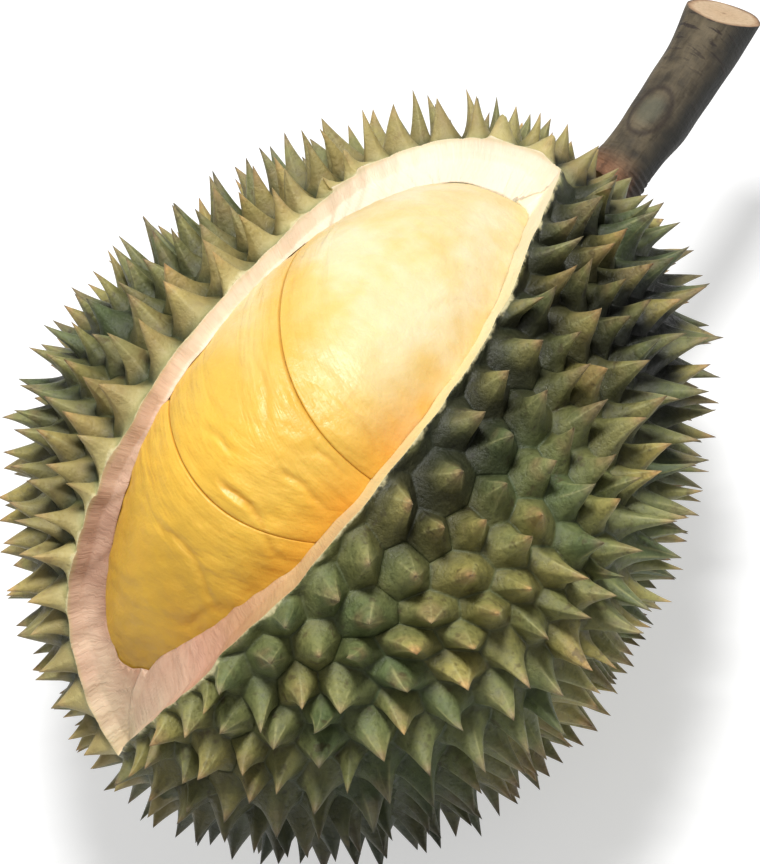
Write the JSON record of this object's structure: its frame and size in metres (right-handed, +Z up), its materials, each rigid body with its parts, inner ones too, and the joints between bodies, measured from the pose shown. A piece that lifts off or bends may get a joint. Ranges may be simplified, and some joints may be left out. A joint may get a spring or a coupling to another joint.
{
  "type": "opened durian fruit",
  "caption": "Ripe durian lying on its side, one valve cut out of the spiny rind to show the creamy golden flesh, with its cut woody stem.",
  "frame": {"origin": "bottom centre of the whole fruit's box: the middle of its length and width, on the flat tops of its blunted lowest spikes", "axes": "+X along the fruit's axis from the blossom end to the stem, +Y across the fruit, +Z up through the opened window"},
  "size_m": [0.2904, 0.1906, 0.1634],
  "materials": {
    "rind": "dull waxy olive-green spikes with brownish tips and dark furrows",
    "flesh": "soft moist satin, cream at the crown and orange-gold towards the rind",
    "bark": "rough matt grey-brown stalk skin with ring wrinkles and a scar"
  },
  "bodies": {
    "root": {"husk": "rind", "aril_upper": "flesh", "aril_middle": "flesh", "aril_lower": "flesh", "stem": "bark"}
  },
  "joints": []
}
